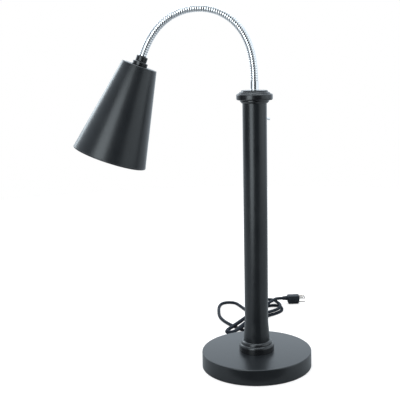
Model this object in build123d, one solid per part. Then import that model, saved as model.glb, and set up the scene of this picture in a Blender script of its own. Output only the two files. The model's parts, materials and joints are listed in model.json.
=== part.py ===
"""Food heat lamp on a weighted round base, with a gooseneck, a spun shade and a reflector bulb.

Millimetres, +Z up. The origin is the centre of the base on the surface that the lamp stands on.
The arm reaches towards -X, the cord leaves the base at the rear, towards +Y.
"""
from build123d import *
import math
import os

# Clearances
fit_gap = 0.1            # a piece seated in its bore
joint_gap = 0.3          # between the ball and the socket of two neck links
wire_gap = 0.3           # a wire in its hole
strand_gap = 0.7         # between two layers of the folded cord
bulb_clear = 3.9         # between the bulb's widest ring and the inside of the shade

# Base
base_dia = 239.0
base_height = 35.0
cover_wall = 1.5
cover_edge = 2.5         # radius of the cover's top edge
skirt_clear = 0.8        # the cover's skirt stops this far above the table
pad_thick = 2.0
pad_inset = 6.5          # the pad's edge inside the cover's
plate_thick = 2.5
weight_thick = 18.0
boss_inset = 29.5        # the screws' bosses inside the cover's edge
boss_dia = 16.0
boss_count = 4
screw_dia = 5.0
screw_head_dia = 9.6
screw_length = 12.0
hub_recess_dia = 68.0
hub_recess_depth = 10.0

# Collar on the base and cap on the post: stepped mouldings with the same ring
ring_dia = 76.0
ring_edge = 2.6
collar_ring_height = 14.0
collar_tier_dia = 64.5
collar_tier_height = 5.0
collar_tier_edge = 1.6
cap_ring_height = 13.0
cap_tier_dia = 68.0
cap_tier_height = 3.3
cap_tier_edge = 2.4
crown_dia = 57.6         # the cap's top tier
crown_height = 3.8
crown_edge = 1.2
under_dia = 61.0         # the cap's tier below its ring
under_height = 2.4
under_taper = 3.8        # below that it narrows to a thin lip round the post
under_low_dia = 54.4
spigot_length = 18.0     # how deep the cap plate sits in the post
spigot_wall = 4.0

# Post
post_dia = 50.8
post_wall = 1.6
post_length = 522.5
foot_dia = 55.8          # the post's swaged foot
foot_height = 8.0
foot_rise = 2.0          # the groove between the collar and the foot
foot_groove_dia = 53.2
flare_height = 44.0      # above the foot the post narrows over this height
flare_steps = 5
foot_plug_height = 50.0
bolt_dia = 12.0
bolt_reach = 30.0        # thread in the foot plug
bolt_head_across = 19.0
bolt_head_height = 7.5
washer_dia = 23.2
washer_thick = 3.0

# Toggle switch, on the post's far right side
switch_azimuth = 42.5
switch_height = 539.0
switch_body_size = (16.0, 13.0, 28.0)
switch_bushing_dia = 11.9
switch_bushing_reach = 6.6
switch_nut_across = 14.0
switch_nut_thick = 2.4
switch_terminal_size = (5.5, 4.8, 0.8)
switch_terminal_spacing = 9.5
lever_root_dia = 4.2
lever_tip_dia = 5.8
lever_length = 13.6
lever_tilt = 12.5        # either side of square to the post
lever_ball_dia = 6.4
lever_ball_depth = 2.2   # its centre lies this far inside the bushing's mouth

# Gooseneck
neck_crest_dia = 15.9
neck_root_dia = 13.9
neck_bore_dia = 9.0
ribs_per_link = 7
rib_flank = 0.3          # share of a rib's pitch that each of its flanks takes
link_length = 33.6
# how far each link turns the neck, in degrees, from the post to the shade
link_turns = (6.2, 10.2, 14.4, 18.1, 19.5, 18.3, 17.1, 17.2, 16.8, 13.7, 8.5)
nose_ribs = 0.9          # ribs on a link's round end, past the joint's centre
ferrule_dia = 17.1
ferrule_length = 19.0
ferrule_seat = 14.0      # depth of the first link in the ferrule
nipple_dia = 13.0
nipple_bore_dia = 9.2
locknut_across = 19.0
locknut_thick = 4.0
sleeve_dia = 8.4         # wires in their woven sleeve
cap_nipple_drop = 11.5   # the nipple's end below the cap plate's seat

# Shade and its bushing, measured along the shade's axis from its flat top
shade_top_dia = 73.2
shade_length = 199.5
shade_wall = 1.2
shade_top_edge = 1.6
hem_thick = 2.6
hem_height = 3.2
shade_collar_dia = 31.4
shade_collar_height = 7.6
shade_groove_dia = 25.0
shade_groove_height = 2.2
end_collar_dia = 23.6
end_collar_height = 10.0
end_collar_edge = 1.4
end_seat = 9.0           # depth of the last link in its collar

# Lamp socket and bulb
socket_dia = 41.0
socket_neck_dia = 34.0
socket_neck_height = 14.0
wire_well_dia = 8.0      # the hole through the socket's floor for the wires
socket_height = 46.0
socket_cup_depth = 29.0
cup_dia = 28.4
shell_wall = 0.5
shell_hole_dia = 12.0    # round the centre contact
bulb_cap_dia = 26.2
bulb_cap_length = 24.0
bulb_tip_dia = 9.6
bulb_tip_height = 2.4
bulb_length = 160.0
bulb_dia = 127.0
bulb_neck_dia = 33.0
bulb_widest = 0.169      # height of the widest ring over the face, as a share of the length
bulb_flare = 0.4         # and of the flare's upper end
glass_wall = 1.0
contact_size = (5.0, 10.5, 0.8)

# Power cord, its folded hank and its plug
cord_dia = 8.0
exit_height = 11.0
grommet_flange_dia = 17.0
grommet_flange_thick = 2.0
grommet_body_dia = 12.4
grommet_body = 5.0       # its length inside the cover's outer face
grommet_tail = 23.0
grommet_tail_root_dia = 13.0
grommet_tail_tip_dia = 10.4
inner_rise_y = 16.5      # where the cord climbs inside the post
inner_bend = 14.0
free_wires = 97.5        # the jacket ends this far below the cap's seat
wire_dia = 2.2
plug_axis = (111.0, 423.3, 16.0)
plug_turn = 3.0
plug_length = 31.5
plug_width = 24.0
plug_height = 23.6
plug_top_edge = 1.6
plug_low_edge = 5.0      # rounding of its lower front and back corners
relief_length = 14.5
relief_root_dia = 12.0
relief_tip_dia = 10.0
blade_size = (16.0, 1.5, 6.3)
blade_spacing = 12.7
blade_rise = 1.5         # the blades above the cord's axis
ground_dia = 4.8
ground_length = 18.5
ground_drop = 11.9       # the ground pin below the blades

# Places that follow from the sizes
plate_base = pad_thick
weight_base = base_height - cover_wall - weight_thick
hub_seat = weight_base + hub_recess_depth
pad_dia = base_dia - 2 * pad_inset
boss_circle = base_dia - 2 * boss_inset
collar_ring_top = base_height + collar_ring_height
collar_top = collar_ring_top + collar_tier_height
post_top = collar_top + post_length
post_radius = post_dia / 2
post_bore = post_radius - post_wall
cap_seat = post_top + 1.0
ring_base = cap_seat
ring_top = ring_base + cap_ring_height
cap_tier_top = ring_top + cap_tier_height
cap_plate_top = cap_tier_top + crown_height
jacket_end = cap_seat - free_wires
neck_start = cap_plate_top + ferrule_length
rib_pitch = link_length / ribs_per_link
crest = neck_crest_dia / 2
root = neck_root_dia / 2
neck_bore = neck_bore_dia / 2
nose_length = nose_ribs * rib_pitch
bushing_height = end_collar_height + shade_groove_height + shade_collar_height
ball_radius = math.hypot(crest, nose_length)
socket_radius = ball_radius + joint_gap
# along the shade's axis: the socket's top and low faces, and the bulb, below the shade's flat top
socket_top = -shade_wall - locknut_thick - 0.2
socket_low = socket_top - socket_height
cup_top = socket_low + socket_cup_depth
bulb_tip_z = cup_top - contact_size[2] - fit_gap
bulb_face_z = bulb_tip_z - bulb_length
bulb_widest_z = bulb_face_z + bulb_widest * bulb_length
# the shade's cone passes the bulb's widest ring with its clearance
shade_spread = (bulb_dia / 2 + bulb_clear + shade_wall - shade_top_dia / 2) / -bulb_widest_z
shade_mouth_dia = shade_top_dia + 2 * shade_spread * shade_length

standing = (Align.CENTER, Align.CENTER, Align.MIN)
built = {}


def turned(*profile, place=Plane.XY):
    """A solid of revolution from (radius, height) points, about the place's Z axis."""
    outline = [Vector(r, 0, z) for r, z in profile]
    face = Face(Wire.make_polygon(outline, close=True))
    return place * revolve(face, Axis.Z)


def hexagon(across, height, place):
    return place * extrude(RegularPolygon(across / math.sqrt(3), 6), height)


def cylinder(radius, low, high, at=(0, 0)):
    return Pos(at[0], at[1], low) * Cylinder(radius, high - low, align=standing)


def run_radii(points):
    """Radii of the arcs at a route's corners: they take nine tenths of the shorter run beside each."""
    radii = []
    for before, here, after in zip(points, points[1:], points[2:]):
        inward, outward = Vector(here) - Vector(before), Vector(after) - Vector(here)
        turn = math.radians(inward.get_angle(outward))
        radii.append(0.45 * min(inward.length, outward.length) / math.tan(turn / 2))
    return radii


def tube_along(wire, radius):
    start = wire.position_at(0)
    return sweep(Plane(origin=start, z_dir=wire.tangent_at(0)) * Circle(radius), path=wire)


def routed_tube(name, points, radius):
    radii = run_radii(points)
    wire = Wire(FilletPolyline(*points, radius=radii).edges()) if radii else Wire([Line(*points)])
    tube = tube_along(wire, radius)
    print(name, "radii", [round(r, 1) for r in radii], "length", round(wire.length, 1),
          "volume over section times length", round(tube.volume / (math.pi * radius ** 2 * wire.length), 5))
    return tube


# Base


def make_base():
    cover_radius = base_dia / 2
    inner_radius = cover_radius - cover_wall
    lid_under = base_height - cover_wall
    cover = cylinder(cover_radius, skirt_clear, base_height)
    cover = fillet(cover.edges().group_by(Axis.Z)[-1], cover_edge)
    hollow = cylinder(inner_radius, skirt_clear, lid_under)
    hollow = fillet(hollow.edges().group_by(Axis.Z)[-1], cover_edge - cover_wall)
    cover -= hollow
    cord_hole = (0, inner_rise_y)
    through = cylinder(bolt_dia / 2 + fit_gap, 0, base_height + 1)
    wire_way = cylinder(cord_dia / 2 + wire_gap, 0, base_height + 1, cord_hole)
    exit_way = Cylinder(grommet_body_dia / 2 + fit_gap, 2 * grommet_body + 2)
    exit_way = Pos(0, cover_radius, exit_height) * Rot(90, 0, 0) * exit_way
    built["base_cover"] = cover - through - wire_way - exit_way

    weight = cylinder(inner_radius - wire_gap, weight_base, lid_under)
    weight = fillet(weight.edges().group_by(Axis.Z)[-1], cover_edge)
    weight -= cylinder(hub_recess_dia / 2, weight_base, hub_seat)
    for spot in PolarLocations(boss_circle / 2, boss_count, start_angle=45):
        boss = cylinder(boss_dia / 2, plate_base + plate_thick, weight_base)
        hole = cylinder(screw_dia / 2 + fit_gap, plate_base, plate_base + screw_length + 1)
        weight = weight + spot * boss - spot * hole
    built["base_weight"] = weight - through - wire_way - exit_way

    plate = cylinder(inner_radius - wire_gap, plate_base, plate_base + plate_thick)
    screws = []
    head_rise = (screw_head_dia - screw_dia) / 2
    for spot in PolarLocations(boss_circle / 2, boss_count, start_angle=45):
        shape = ((0, plate_base + screw_length), (screw_dia / 2, plate_base + screw_length),
                 (screw_dia / 2, plate_base + head_rise), (screw_head_dia / 2, plate_base), (0, plate_base))
        sink = ((0, plate_base + plate_thick), (screw_dia / 2 + fit_gap, plate_base + plate_thick),
                (screw_dia / 2 + fit_gap, plate_base + head_rise), (screw_head_dia / 2 + fit_gap, plate_base),
                (0, plate_base))
        screws.append(spot * turned(*shape))
        plate -= spot * turned(*sink)
    built["base_plate"] = plate
    built["base_screws"] = Compound(children=screws)
    pad = cylinder(pad_dia / 2, 0, pad_thick)
    built["base_pad"] = chamfer(pad.edges().group_by(Axis.Z)[0], 0.5)


def step(dia, low, high, edge):
    """One round step of a moulding, with its upper edge rounded."""
    body = cylinder(dia / 2, low, high)
    return fillet(body.edges().group_by(Axis.Z)[-1], edge)


def make_foot():
    collar = step(ring_dia, base_height, collar_ring_top, ring_edge)
    collar += step(collar_tier_dia, collar_ring_top, collar_top, collar_tier_edge)
    built["base_collar"] = collar - cylinder(post_bore, base_height, collar_top)
    plug = cylinder(post_bore - fit_gap, base_height, base_height + foot_plug_height)
    plug = chamfer(plug.edges().group_by(Axis.Z)[-1], 1.5)
    plug -= cylinder(bolt_dia / 2 + fit_gap, base_height, base_height + bolt_reach + 5)
    plug -= cylinder(cord_dia / 2 + wire_gap, base_height, base_height + foot_plug_height, (0, inner_rise_y))
    built["foot_plug"] = plug
    head_base = hub_seat - washer_thick - bolt_head_height
    bolt = hexagon(bolt_head_across, bolt_head_height, Pos(0, 0, head_base))
    bolt += cylinder(bolt_dia / 2, head_base, base_height + bolt_reach)
    built["foot_bolt"] = bolt
    washer = cylinder(washer_dia / 2, hub_seat - washer_thick, hub_seat)
    built["foot_washer"] = washer - cylinder(bolt_dia / 2 + fit_gap, hub_seat - washer_thick, hub_seat)


# Post and cap


def make_post():
    foot_z = collar_top + foot_rise
    flare = []
    for k in range(flare_steps + 1):
        share = (1 + math.cos(math.pi * k / flare_steps)) / 2
        flare.append((post_radius + (foot_dia / 2 - post_radius) * share,
                      foot_z + foot_height + flare_height * k / flare_steps))
    sleeve = turned((post_bore, collar_top), (foot_groove_dia / 2, collar_top),
                    (foot_groove_dia / 2, foot_z - 0.6), (foot_dia / 2 - 0.5, foot_z - 0.1),
                    (foot_dia / 2, foot_z + 0.4), *flare, (post_radius, post_top), (post_bore, post_top))
    hole = switch_place() * Cylinder(switch_bushing_dia / 2 + fit_gap, 3 * post_dia)
    side = switch_place() * Pos(0, 0, -1.5 * post_dia) * Box(3 * post_dia, 3 * post_dia, 3 * post_dia)
    built["post_tube"] = sleeve - (hole - side)


def make_cap():
    under_z = cap_seat - under_height
    ring = cylinder(ring_dia / 2, ring_base, ring_top)
    ring = fillet(ring.edges(), ring_edge)
    ring += turned((post_radius + fit_gap, under_z - under_taper), (under_low_dia / 2, under_z - under_taper),
                   (under_dia / 2, under_z), (under_dia / 2, ring_base + 0.5), (0, ring_base + 0.5),
                   (0, cap_seat), (post_radius + fit_gap, cap_seat))
    built["cap_ring"] = ring - cylinder(post_bore, under_z, ring_top)

    plate = step(cap_tier_dia, ring_top, cap_tier_top, cap_tier_edge)
    plate += step(crown_dia, cap_tier_top, cap_plate_top, crown_edge)
    spigot_low = cap_seat - spigot_length
    plate += cylinder(post_bore - fit_gap, spigot_low, ring_top)
    plate -= cylinder(post_bore - spigot_wall, spigot_low, ring_base)
    built["cap_plate"] = plate - cylinder(nipple_dia / 2 + fit_gap, spigot_low, cap_plate_top)


# Switch


def switch_place():
    """On the post's axis at the switch's height, with local Z pointing out through the switch."""
    outward = (math.cos(math.radians(switch_azimuth)), math.sin(math.radians(switch_azimuth)), 0)
    return Plane(origin=(0, 0, switch_height), x_dir=(0, 0, 1), z_dir=outward)


def make_switch():
    place = switch_place()
    depth, width, height = switch_body_size
    face = math.sqrt(post_bore ** 2 - (width / 2) ** 2) - fit_gap
    mouth = post_radius + switch_bushing_reach
    ball_z = mouth - lever_ball_depth
    case = Pos(0, 0, face - depth / 2) * Box(height, width, depth)
    case = fillet(case.edges().filter_by(Axis.Z), 1.0)
    case += cylinder(switch_bushing_dia / 2, face, mouth)
    case -= Pos(0, 0, ball_z) * Sphere(lever_ball_dia / 2 + joint_gap)
    case -= Pos(0, 0, ball_z) * Cone(0.8, lever_root_dia * 1.28, 8, align=standing)
    length, blade_width, thick = switch_terminal_size
    for side in (-1, 1):
        end = Pos(side * switch_terminal_spacing, 0, face - depth - length / 2)
        case += end * Box(thick, blade_width, length)
    built["switch_body"] = place * case
    nut = hexagon(switch_nut_across, switch_nut_thick, Pos(0, 0, post_radius + fit_gap))
    nut -= cylinder(switch_bushing_dia / 2 + fit_gap, post_radius, post_radius + 2 * switch_nut_thick)
    built["switch_nut"] = place * nut

    tip = lever_ball_depth + lever_length
    root_r, tip_r = lever_root_dia / 2, lever_tip_dia / 2
    lever = turned((0, -lever_ball_dia / 4), (root_r * 0.9, 0), (root_r * 0.9, 3), (root_r, 5),
                   (tip_r, tip - 3), (tip_r, tip - 1.6), (tip_r - 1.1, tip - 0.3), (tip_r - 2.0, tip),
                   (0, tip))
    lever += Sphere(lever_ball_dia / 2)
    built["switch_lever"] = place * Pos(0, 0, ball_z) * Rot(0, -lever_tilt, 0) * lever


# Gooseneck


def neck_joints():
    """The point and the heading, in degrees from +X towards +Z, at each end of each link."""
    point, heading, ends = Vector(0, 0, neck_start), 90.0, []
    ends.append((point, heading))
    for turn in link_turns:
        point = along_arc(point, heading, turn, 1.0)
        heading += turn
        ends.append((point, heading))
    return ends


def along_arc(point, heading, turn, share):
    radius = link_length / math.radians(turn)
    start, end = math.radians(heading), math.radians(heading + turn * share)
    return point + Vector(math.sin(end) - math.sin(start), 0, math.cos(start) - math.cos(end)) * radius


def heading_vector(heading):
    return Vector(math.cos(math.radians(heading)), 0, math.sin(math.radians(heading)))


def neck_plane(point, heading):
    return Plane(origin=point, x_dir=(0, 1, 0), z_dir=heading_vector(heading))


def link_wire(start, heading, turn, tail):
    """The centreline of a link, with a straight tail past its upper joint."""
    end = along_arc(start, heading, turn, 1.0)
    arc = ThreePointArc(start, along_arc(start, heading, turn, 0.5), end)
    return Wire([arc, Line(end, end + heading_vector(heading + turn) * tail)])


def round_end(rim, place):
    """The ball end of a link: its rim's (radius, height) points, from the joint's plane, then the ball."""
    last_r, last_z = rim[-1]
    angle = math.atan2(last_z, last_r)
    middle = (angle + math.pi / 2) / 2
    points = [Vector(r, 0, z) for r, z in rim]
    edges = [Line(a, b) for a, b in zip([Vector(0, 0, 0)] + points, points)]
    top = Vector(0, 0, ball_radius)
    edges.append(ThreePointArc(points[-1], Vector(math.cos(middle), 0, math.sin(middle)) * ball_radius, top))
    edges.append(Line(top, Vector(0, 0, 0)))
    return place * revolve(Face(Wire(edges)), Axis.Z)


def make_neck():
    ends = neck_joints()
    last = len(link_turns) - 1
    for index, turn in enumerate(link_turns):
        start, heading = ends[index]
        end, end_heading = ends[index + 1]
        upper = neck_plane(end, end_heading)
        first_rib = 0 if index == 0 else 1
        sections = []
        for rib in range(first_rib, ribs_per_link):
            for share, radius in ((0.0, root), (rib_flank, crest), (1 - rib_flank, crest)):
                part = (rib + share) / ribs_per_link
                place = neck_plane(along_arc(start, heading, turn, part), heading + turn * part)
                sections.append(place * Circle(radius))
        sections.append(upper * Circle(root))
        link = loft(sections, ruled=True)
        lower = neck_plane(start, heading)
        sleeve = sweep(lower * Circle(sleeve_dia / 2), path=link_wire(start, heading, turn, 0.01))
        if index == 0:
            link += lower * cylinder(root, -ferrule_seat, 0)
            sleeve_low = ring_base - cap_nipple_drop - neck_start
            sleeve += lower * cylinder(sleeve_dia / 2, sleeve_low, 0)
        if index == last:
            link += upper * cylinder(root, 0, end_seat)
            sleeve += upper * cylinder(sleeve_dia / 2, 0, bushing_height + shade_wall + locknut_thick + 1.5)
        else:
            link += round_end([(root, 0), (crest, rib_flank * rib_pitch), (crest, nose_length)], upper)
            sleeve_rise = math.sqrt(ball_radius ** 2 - (sleeve_dia / 2) ** 2)
            sleeve += round_end([(sleeve_dia / 2, 0), (sleeve_dia / 2, sleeve_rise)], upper)
        if index > 0:
            socket = Pos(*start) * Sphere(socket_radius)
            link -= socket
            sleeve -= socket
        tail = end_seat + 1 if index == last else ball_radius + 1
        bore = sweep(lower * Circle(neck_bore), path=link_wire(start, heading, turn, tail))
        if index == 0:
            bore += lower * cylinder(neck_bore, -ferrule_seat - 1, 0)
        built[f"neck_link_{index + 1:02d}"] = link - bore
        built[f"neck_wires_{index + 1:02d}"] = sleeve


def make_neck_fittings():
    shoulder = neck_start - ferrule_seat - fit_gap
    ferrule_r = ferrule_dia / 2
    foot_r = ferrule_r + 0.5
    ferrule = turned((0, cap_plate_top), (foot_r, cap_plate_top), (foot_r, cap_plate_top + 1.2),
                     (ferrule_r, cap_plate_top + 2.0), (ferrule_r, neck_start - 0.8),
                     (ferrule_r - 0.6, neck_start), (0, neck_start))
    ferrule -= cylinder(crest + fit_gap, shoulder, neck_start)
    ferrule -= cylinder(nipple_dia / 2 + fit_gap, cap_plate_top, shoulder)
    built["neck_ferrule"] = ferrule
    nipple_low = ring_base - cap_nipple_drop
    nipple = cylinder(nipple_dia / 2, nipple_low, shoulder)
    built["neck_nipple"] = nipple - cylinder(nipple_bore_dia / 2, nipple_low, shoulder)
    nut = hexagon(locknut_across, locknut_thick, Pos(0, 0, ring_base - locknut_thick))
    built["neck_locknut"] = nut - cylinder(nipple_dia / 2 + fit_gap, ring_base - locknut_thick, ring_base)


# Shade, socket and bulb, in the shade's frame: Z points back up the neck, 0 is the shade's flat top


def shade_frame():
    point, heading = neck_joints()[-1]
    along = heading_vector(heading)
    return Plane(origin=point + along * bushing_height, x_dir=(0, 1, 0), z_dir=-along)


def make_shade():
    place = shade_frame()
    top_r, mouth_r = shade_top_dia / 2, shade_mouth_dia / 2
    slope = shade_spread
    skin = shade_wall * math.hypot(1, slope)
    hem_z = -shade_length + hem_height
    shell = turned((0, 0), (top_r - shade_top_edge, 0), (top_r - 0.3 * shade_top_edge, -0.3 * shade_top_edge),
                   (top_r + slope * shade_top_edge, -shade_top_edge), (mouth_r - 0.6, hem_z),
                   (mouth_r, hem_z - 0.6), (mouth_r, -shade_length), (mouth_r - hem_thick, -shade_length),
                   (mouth_r - hem_thick, hem_z), (mouth_r - skin - slope * hem_height, hem_z),
                   (top_r + slope * shade_wall - skin, -shade_wall), (0, -shade_wall))
    built["shade"] = place * (shell - cylinder(nipple_dia / 2 + fit_gap, -shade_wall, 0))

    groove_z = shade_collar_height + shade_groove_height
    collar_r, bore = shade_collar_dia / 2, nipple_dia / 2 + fit_gap
    collar = turned((bore, 0), (collar_r, 0), (collar_r, shade_collar_height - 0.8),
                    (collar_r - 0.8, shade_collar_height), (shade_groove_dia / 2, shade_collar_height),
                    (shade_groove_dia / 2 - 1.5, groove_z), (bore, groove_z))
    built["shade_collar"] = place * collar
    collar_top_z = groove_z + end_collar_height
    seat_z = collar_top_z - end_seat - fit_gap
    end_r = end_collar_dia / 2
    end_collar = turned((bore, groove_z), (end_r, groove_z), (end_r, collar_top_z - end_collar_edge),
                        (end_r - end_collar_edge, collar_top_z), (crest + fit_gap, collar_top_z),
                        (crest + fit_gap, seat_z), (bore, seat_z))
    built["neck_end_collar"] = place * end_collar
    nipple_low = -shade_wall - locknut_thick - 1.5
    nipple = cylinder(nipple_dia / 2, nipple_low, seat_z) - cylinder(nipple_bore_dia / 2, nipple_low, seat_z)
    built["shade_nipple"] = place * nipple
    nut_low = -shade_wall - locknut_thick
    nut = hexagon(locknut_across, locknut_thick, Pos(0, 0, nut_low))
    built["shade_locknut"] = place * (nut - cylinder(nipple_dia / 2 + fit_gap, nut_low, -shade_wall))


def make_socket_and_bulb():
    place = shade_frame()
    top, low = socket_top, socket_low
    bore, neck_r, wide_r = nipple_dia / 2 + fit_gap, socket_neck_dia / 2, socket_dia / 2
    body = turned((bore, top), (neck_r, top), (neck_r, top - socket_neck_height),
                  (wide_r, top - socket_neck_height - 4), (wide_r, low + 1.5), (wide_r - 1.5, low),
                  (cup_dia / 2, low), (cup_dia / 2, cup_top), (wire_well_dia / 2, cup_top),
                  (wire_well_dia / 2, top - 2.5), (bore, top - 2.5))
    built["socket_body"] = place * body
    shell_r = cup_dia / 2 - fit_gap
    hole = shell_hole_dia / 2
    shell = turned((shell_r, low + 2), (shell_r, cup_top), (hole, cup_top), (hole, cup_top - shell_wall),
                   (shell_r - shell_wall, cup_top - shell_wall), (shell_r - shell_wall, low + 2))
    built["socket_shell"] = place * shell
    length, width, thick = contact_size
    tongue = Pos(0, 0, cup_top - thick / 2) * Box(length, width, thick)
    built["socket_contact"] = place * tongue

    tip_z, face_z = bulb_tip_z, bulb_face_z
    cap_top = tip_z - bulb_tip_height
    cap_low = cap_top - bulb_cap_length
    cap_r = bulb_cap_dia / 2
    cap = turned((0, tip_z), (bulb_tip_dia / 2, tip_z), (bulb_tip_dia / 2 + 1, cap_top),
                 (cap_r - 2.5, cap_top), (cap_r, cap_top - 3), (cap_r, cap_low), (0, cap_low))
    built["bulb_cap"] = place * cap
    built["bulb_glass"] = place * (bulb_form(face_z, cap_low, 0) - bulb_form(face_z, cap_low, glass_wall))


def bulb_form(face_z, cap_low, inset):
    """The bulb's envelope, drawn in by an inset all round."""
    neck, widest = bulb_neck_dia / 2 - inset, bulb_dia / 2 - inset
    face, top = face_z + inset, cap_low - 3 * inset
    mouth = Vector(bulb_cap_dia / 2 - 0.6 - inset, 0, top)
    neck_top, throat = Vector(neck, 0, cap_low - 8), Vector(neck, 0, cap_low - 20)
    flare = Vector(widest - 17, 0, face_z + bulb_flare * bulb_length)
    crown, shoulder = Vector(widest, 0, bulb_widest_z), Vector(widest - 6, 0, face + 8)
    dome_radius = (shoulder.X ** 2 + (shoulder.Z - face) ** 2) / (2 * (shoulder.Z - face))
    half_angle = math.asin(shoulder.X / dome_radius) / 2
    dome_middle = Vector(math.sin(half_angle), 0, 1 - math.cos(half_angle)) * dome_radius + Vector(0, 0, face)
    foot, head = Vector(0, 0, face), Vector(0, 0, top)
    outline = [
        Line(mouth, neck_top), Line(neck_top, throat),
        ThreePointArc(throat, Vector(neck + 8, 0, (throat.Z + flare.Z) / 2 + 6), flare),
        ThreePointArc(flare, Vector(widest - 4, 0, face_z + 45), crown),
        ThreePointArc(crown, Vector(widest - 1.6, 0, face + 16), shoulder),
        ThreePointArc(shoulder, dome_middle, foot), Line(foot, head), Line(head, mouth)]
    return revolve(Face(Wire(outline)), Axis.Z)


# Cord


def route_points():
    """The free cord from its exit: where its route turns, chosen by hand from the photograph."""
    return [(0, exit_end(), exit_height), (0, 161, exit_height), (-4, 182, 6.4), (-17, 204, 4.0),
            (-35, 228, 4.0), (-54, 256, 4.0), (-70.5, 290, 4.0), (-77.7, 322, 4.0), (-78.7, 362, 4.0),
            (-77, 404, 4.0), (-65.5, 433.5, 4.0), (-34, 433.5, 4.0), (-20, 402, 4.0), (-7, 365, 4.0)]


def exit_end():
    return base_dia / 2 + grommet_flange_thick + grommet_tail


def make_cord():
    points = route_points()
    built["power_cord"] = routed_tube("power cord", points, cord_dia / 2)
    wall = base_dia / 2
    outward = Plane(origin=(0, wall, exit_height), x_dir=(1, 0, 0), z_dir=(0, 1, 0))
    bore = cord_dia / 2 + fit_gap
    grommet = turned((bore, -grommet_body), (grommet_body_dia / 2, -grommet_body), (grommet_body_dia / 2, 0),
                     (grommet_flange_dia / 2, 0), (grommet_flange_dia / 2, grommet_flange_thick),
                     (grommet_tail_root_dia / 2, grommet_flange_thick),
                     (grommet_tail_tip_dia / 2, grommet_flange_thick + grommet_tail),
                     (bore, grommet_flange_thick + grommet_tail))
    built["cord_grommet"] = outward * grommet
    inner = [(0, exit_end(), exit_height), (0, inner_rise_y, exit_height), (0, inner_rise_y, jacket_end)]
    wire = Wire(FilletPolyline(*inner, radius=inner_bend).edges())
    built["inner_cord"] = tube_along(wire, cord_dia / 2)


def make_wires():
    """The three conductors from the end of the jacket: two to the neck, one through the switch."""
    terminal = math.sqrt(post_bore ** 2 - (switch_body_size[1] / 2) ** 2) - fit_gap - switch_body_size[0]
    spot = switch_place().from_local_coords(Vector(0, 0, terminal - switch_terminal_size[0] / 2))
    lower = switch_height - switch_terminal_spacing - switch_terminal_size[2] / 2
    upper = switch_height + switch_terminal_spacing + switch_terminal_size[2] / 2 + wire_gap
    end = ring_base - cap_nipple_drop - wire_gap
    side, behind = 1.7, inner_rise_y
    near = behind - 0.8
    paths = [
        [(-side, near, jacket_end), (-side, near, jacket_end + 8), (-4.5, 2, jacket_end + 40),
         (-side, 1, end)],
        [(0, behind + 1.8, jacket_end), (0, behind + 1.8, jacket_end + 14), (-2, -4.5, jacket_end + 46),
         (0, -2, end)],
        [(side, near, jacket_end), (side, near, jacket_end + 6), (spot.X, spot.Y, jacket_end + 34),
         (spot.X, spot.Y, lower)],
        [(spot.X, spot.Y, upper), (side, 1, end)],
    ]
    wires = [routed_tube(f"inner wire {k + 1}", points, wire_dia / 2) for k, points in enumerate(paths)]
    built["post_wires"] = Compound(children=wires)


def biarc(start, start_dir, end, end_dir):
    """Two arcs, or straight lines, that join two points with their directions."""
    chord, both = end - start, start_dir + end_dir
    spread = 2 * (1 - start_dir.dot(end_dir))
    if spread < 1e-9:
        reach = chord.dot(chord) / (4 * chord.dot(end_dir))
    else:
        along = chord.dot(both)
        reach = (math.sqrt(along ** 2 + spread * chord.dot(chord)) - along) / spread
    joint = (start + end + (start_dir - end_dir) * reach) * 0.5
    first = arc_from(start, start_dir, joint)
    return [first, arc_from(joint, first.tangent_at(1), end)]


def arc_from(start, direction, end):
    across = direction.cross(end - start)
    if across.length < 1e-6 * (end - start).length:
        return Line(start, end)
    return TangentArc(start, end, tangent=direction)


def hank_stations():
    """Points and headings along the folded cord: its second loop lies a layer above the first."""
    layer = cord_dia + strand_gap
    floor_z = cord_dia / 2
    x, y, _ = route_points()[-1]
    before = route_points()[-2]
    entry = math.degrees(math.atan2(y - before[1], x - before[0]))
    stations = [((x, y, floor_z), entry), ((12, 343, floor_z), -8), ((38, 370, floor_z), 57),
                ((62, 396, floor_z), 0), ((90, 362, floor_z), -92)]
    first = floor_z + layer
    stations += going_back(floor_z)
    stations += [((-38, 181, first), 231), ((-54, 174.5, first), 145), ((-56, 190.5, first), 60),
                 ((-29, 242, first), 62), ((22, 331, first), 60), ((44, 382, first), 70),
                 ((61, 440, first - 5), -10), ((78, 414, first - 4), -66), ((84.5, 386, first), -85),
                 ((84.5, 364, first), -96)]
    top = first + layer
    tip = plug_tip()
    stations += going_back(first)
    stations += [((-37, 162, top), 234), ((-53, 156, top), 147), ((-55, 172, top), 62), ((-27, 226, top), 59),
                 ((24, 322, top), 60), ((56, 376, top), 52), ((74, 409, 19), 46)]
    stations += [(tuple(tip - plug_heading() * cord_dia), plug_turn), (tuple(tip), plug_turn)]
    return stations


def going_back(z):
    """The strand from a loop's far end towards the base, which climbs over the strands below it."""
    return [((62, 325, z), 219), ((20, 272, z + 0.93 * (cord_dia + strand_gap)), 232)]


def plug_heading():
    return Vector(math.cos(math.radians(plug_turn)), math.sin(math.radians(plug_turn)), 0)


def plug_tip():
    """Where the cord enters the plug's strain relief."""
    return Vector(*plug_axis) - plug_heading() * relief_length


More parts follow.
